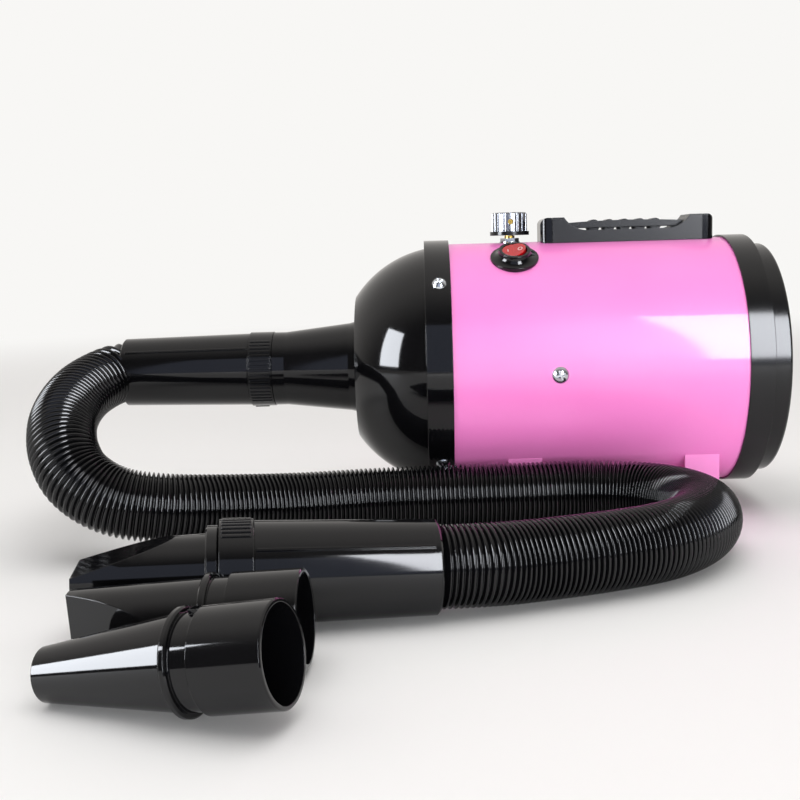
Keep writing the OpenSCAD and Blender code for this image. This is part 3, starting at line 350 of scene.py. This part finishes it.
# translucent red acrylic: lit from inside by what passes through it
def redAcrylic():
    material, tree, shader = newMaterial("redAcrylic", Roughness=0.14, IOR=1.49, Subsurface_Weight=0.35,
                                         Coat_Weight=0.3)
    shader.inputs["Subsurface Radius"].default_value = (1.0, 0.12, 0.1)
    shader.inputs["Subsurface Scale"].default_value = acrylic["scatter"]
    where = addNode(tree, "ShaderNodeTexCoord")
    drift = addNode(tree, "ShaderNodeTexNoise", {"Scale": 160.0, "Detail": 2.0},
                    {"Vector": where.outputs["Object"]})
    colour = addNode(tree, "ShaderNodeMixRGB",
                     {"Color1": hexColor(acrylic["deep"]), "Color2": hexColor(acrylic["light"])},
                     {"Fac": drift.outputs["Fac"]})
    tree.links.new(colour.outputs["Color"], shader.inputs["Base Color"])
    return material


finishes = {
    "pink_paint": pinkPaint(),
    "black_abs": mouldedBlack("glossAbs", "#0B0B0D", "#08080A", 0.075, 0.02, 0.0008),
    "rear_abs": mouldedBlack("etchedAbs", "#0B0B0D", "#08080A", 0.15, 0.03, 0.0008),
    "soft_black": mouldedBlack("satinPolypropylene", "#0E0E11", "#0A0A0D", 0.27, 0.05, 0.0007, 0.0009, 0.05),
    "hose_vinyl": mouldedBlack("hoseVinyl", "#0B0B0D", "#070709", 0.11, 0.03, 0.0001),
    "nozzle_pe": mouldedBlack("glossPolyethylene", "#0A0A0C", "#070709", 0.06, 0.02, 0.0006),
    "pad_rubber": mouldedBlack("blackRubber", "#26262A", "#1C1C1F", 0.7, 0.08, 0.0004, 0.0006, 0.2),
    "carbon": mouldedBlack("pressedCarbon", "#2E2E30", "#222224", 0.6, 0.06, 0.0002),
    "circuit_board": mouldedBlack("circuitBoard", "#2F6B3C", "#27592F", 0.45, 0.05, 0.0002),
    "zinc_steel": plainMetal("zincPlatedSteel", "#C9CCD0", 0.16),
    "ground_steel": plainMetal("groundSteel", "#A9ACB0", 0.3),
    "bare_aluminium": plainMetal("castAluminium", "#C3C6CA", 0.35, 0.15, 0.0008),
    "turned_brass": plainMetal("turnedBrass", "#D9B45C", 0.18),
    "knob_chrome": chromedKnob(),
    "red_button": redAcrylic(),
    "open_foam": openFoam(),
}
etchedPieces = ["rear_ring", "intake_cover"]  # the rear mouldings shine less than the nose

slotOf = {part["node"]: part["material_slot"] for part in frame["record"]["subparts"]}
for name, node in cadNodes.items():
    slot = "rear_abs" if name in etchedPieces else slotOf[name]
    node.data.materials.clear()
    node.data.materials.append(finishes[slot])
ribbedHose.data.materials.append(finishes["hose_vinyl"])
print("finishes set")


rocker = {
    "x": -0.066, "axisHeight": 0.105, "angle": 61.0, "pinRadius": 0.094, "swing": 9.0,
    "faceSlope": 8.56, "faceAtMiddle": 0.0026, "markAt": 0.0043,
    "ink": "#F3DCDC", "wornInk": "#E8B9B9", "markHeight": 0.00012,
    "barWidth": 0.0006, "barLength": 0.0030, "ringRadius": 0.00145, "ringWidth": 0.00055,
}


# printed marks: thin white ink, a bar for on and a ring for off
def whiteInk():
    material, tree, shader = newMaterial("whiteInk", Roughness=0.4)
    where = addNode(tree, "ShaderNodeTexCoord")
    wear = addNode(tree, "ShaderNodeTexNoise", {"Scale": 1500.0}, {"Vector": where.outputs["Object"]})
    colour = addNode(tree, "ShaderNodeMixRGB",
                     {"Color1": hexColor(rocker["ink"]), "Color2": hexColor(rocker["wornInk"])},
                     {"Fac": wear.outputs["Fac"]})
    tree.links.new(colour.outputs["Color"], shader.inputs["Base Color"])
    return material


def placeMark(piece, side):
    # lays a mark made at the origin on the rocker's left (-1) or right (+1) face
    tilt = Matrix.Rotation(math.radians(-rocker["faceSlope"] * side), 4, "Y")
    rise = rocker["faceAtMiddle"] + math.tan(math.radians(rocker["faceSlope"])) * rocker["markAt"]
    onFace = Matrix.Translation((side * rocker["markAt"], 0, rise)) @ tilt
    swing = Matrix.Rotation(math.radians(-rocker["swing"]), 4, "Y")
    outward = Matrix.Rotation(math.radians(90 - rocker["angle"]), 4, "X")
    base = Matrix.Translation((rocker["x"], 0, rocker["axisHeight"]))
    piece.matrix_world = base @ outward @ Matrix.Translation((0, 0, rocker["pinRadius"])) @ swing @ onFace
    select(piece)
    bpy.ops.object.transform_apply(location=True, rotation=True, scale=True)
    piece.data.materials.append(inkFinish)
    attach(piece, "switch_button")


def makeMarks():
    bpy.ops.object.select_all(action="DESELECT")
    bpy.ops.mesh.primitive_cube_add(size=1, location=(0, 0, 0))
    bar = bpy.context.active_object
    bar.name = "onMark"
    bpy.ops.object.mode_set(mode="EDIT")
    bpy.ops.mesh.select_all(action="SELECT")
    bpy.ops.transform.resize(value=(rocker["barWidth"], rocker["barLength"], rocker["markHeight"]))
    bpy.ops.mesh.bevel(offset=0.00004, segments=2, affect="EDGES")
    bpy.ops.object.mode_set(mode="OBJECT")
    placeMark(bar, -1)
    bpy.ops.object.select_all(action="DESELECT")
    bpy.ops.mesh.primitive_torus_add(major_radius=rocker["ringRadius"], minor_radius=rocker["ringWidth"] / 2,
                                     major_segments=40, minor_segments=10)
    ring = bpy.context.active_object
    ring.name = "offMark"
    bpy.ops.object.mode_set(mode="EDIT")
    bpy.ops.mesh.select_all(action="SELECT")
    bpy.ops.transform.resize(value=(1, 1.25, 0.22))
    bpy.ops.object.mode_set(mode="OBJECT")
    bpy.ops.object.shade_smooth()
    placeMark(ring, 1)


inkFinish = whiteInk()
makeMarks()
print("rocker marks made")


stage = {"colour": "#F8F7F5", "floor": "#F3F3F3", "fadeFrom": 0.75, "fadeTo": 2.2, "size": 14}


# matt table top that runs into the backdrop: the far floor shows the backdrop's own colour
def makeStage():
    bpy.ops.object.select_all(action="DESELECT")
    bpy.ops.mesh.primitive_plane_add(size=1, location=(0, 0, 0))
    floor = bpy.context.active_object
    floor.name = "paleFloor"
    bpy.ops.object.mode_set(mode="EDIT")
    bpy.ops.mesh.select_all(action="SELECT")
    bpy.ops.transform.resize(value=(stage["size"], stage["size"], 1))
    bpy.ops.object.mode_set(mode="OBJECT")
    material, tree, shader = newMaterial("paleFloor", Roughness=0.7)
    shader.inputs["Base Color"].default_value = hexColor(stage["floor"])
    where = addNode(tree, "ShaderNodeTexCoord")
    far = addNode(tree, "ShaderNodeVectorMath", {"operation": "LENGTH"}, {"Vector": where.outputs["Object"]})
    fade = addNode(tree, "ShaderNodeMapRange",
                   {"interpolation_type": "SMOOTHSTEP",
                    "From Min": stage["fadeFrom"], "From Max": stage["fadeTo"]},
                   {"Value": far.outputs["Value"]})
    ray = addNode(tree, "ShaderNodeLightPath")
    share = addNode(tree, "ShaderNodeMath", {"operation": "MULTIPLY"})
    tree.links.new(fade.outputs["Result"], share.inputs[0])
    tree.links.new(ray.outputs["Is Camera Ray"], share.inputs[1])
    backdrop = addNode(tree, "ShaderNodeEmission", {"Color": hexColor(stage["colour"]), "Strength": 1.0})
    mix = addNode(tree, "ShaderNodeMixShader")
    tree.links.new(share.outputs["Value"], mix.inputs[0])
    tree.links.new(shader.outputs["BSDF"], mix.inputs[1])
    tree.links.new(backdrop.outputs["Emission"], mix.inputs[2])
    tree.links.new(mix.outputs["Shader"], tree.nodes["Material Output"].inputs["Surface"])
    floor.data.materials.append(material)


room = {"towardsWhite": (0.0, 0.86, 0.5), "dark": 0.10, "bright": 0.86, "from": -0.3, "to": 0.55,
        "tint": "#FAF6F2"}


def makeWorld():
    world = bpy.data.worlds.new("studioRoom")
    world.use_nodes = True
    scene.world = world
    tree = world.node_tree
    # a white backdrop behind and above, and a dim room on the side of the camera
    walls = tree.nodes["Background"]
    where = addNode(tree, "ShaderNodeTexCoord")
    axis = addNode(tree, "ShaderNodeVectorMath", {"operation": "DOT_PRODUCT"},
                   {"Vector": where.outputs["Generated"]})
    axis.inputs[1].default_value = room["towardsWhite"]
    shade = addNode(tree, "ShaderNodeMapRange", {"interpolation_type": "SMOOTHSTEP", "From Min": room["from"],
                                                 "From Max": room["to"], "To Min": room["dark"],
                                                 "To Max": room["bright"]},
                    {"Value": axis.outputs["Value"]})
    walls.inputs["Color"].default_value = hexColor(room["tint"])
    tree.links.new(shade.outputs["Result"], walls.inputs["Strength"])
    seen = addNode(tree, "ShaderNodeBackground", {"Color": hexColor(stage["colour"]), "Strength": 1.0})
    ray = addNode(tree, "ShaderNodeLightPath")
    mix = addNode(tree, "ShaderNodeMixShader")
    tree.links.new(ray.outputs["Is Camera Ray"], mix.inputs[0])
    tree.links.new(walls.outputs["Background"], mix.inputs[1])
    tree.links.new(seen.outputs["Background"], mix.inputs[2])
    tree.links.new(mix.outputs["Shader"], tree.nodes["World Output"].inputs["Surface"])


def softbox(name, place, aim, size, power, shows="both", colour="#FFFFFF"):
    # shows: light only lights, mirror is only seen in gloss, both does both
    data = bpy.data.lights.new(name, "AREA")
    data.shape = "RECTANGLE"
    data.size, data.size_y = size
    data.energy = power
    data.color = hexColor(colour)[:3]
    lamp = bpy.data.objects.new(name, data)
    scene.collection.objects.link(lamp)
    lamp.location = place
    lamp.rotation_euler = (Vector(aim) - Vector(place)).to_track_quat("-Z", "Y").to_euler()
    lamp.visible_glossy = shows != "light"
    lamp.visible_diffuse = shows != "mirror"


lamps = {
    "top": dict(place=(-0.05, -0.35, 2.0), aim=(-0.05, -0.1, 0.1), size=(2.0, 2.0), power=18, shows="light"),
    "front": dict(place=(0.05, -2.4, 0.40), aim=(-0.05, 0, 0.12), size=(2.6, 0.8), power=43, shows="light"),
    "rightWindow": dict(place=(1.07, -2.4, 1.40), aim=(1.07, 0, 1.40), size=(0.86, 2.2), power=132,
                        shows="mirror", colour="#F6F9FF"),
    "leftWindow": dict(place=(-1.77, -0.87, 0.70), aim=(-0.15, -0.1, 0.70), size=(0.72, 1.05), power=56,
                       shows="mirror", colour="#F4F8FF"),
    "curtain": dict(place=(0.1, -2.6, 1.2), aim=(0.1, 0, 1.2), size=(2.5, 2.3), power=14,
                    shows="mirror", colour="#C9D4F2"),
}
makeStage()
makeWorld()
for lampName, lamp in lamps.items():
    softbox(lampName + "Softbox", **lamp)
scene.view_settings.view_transform = "Standard"
print("stage and lamps set")
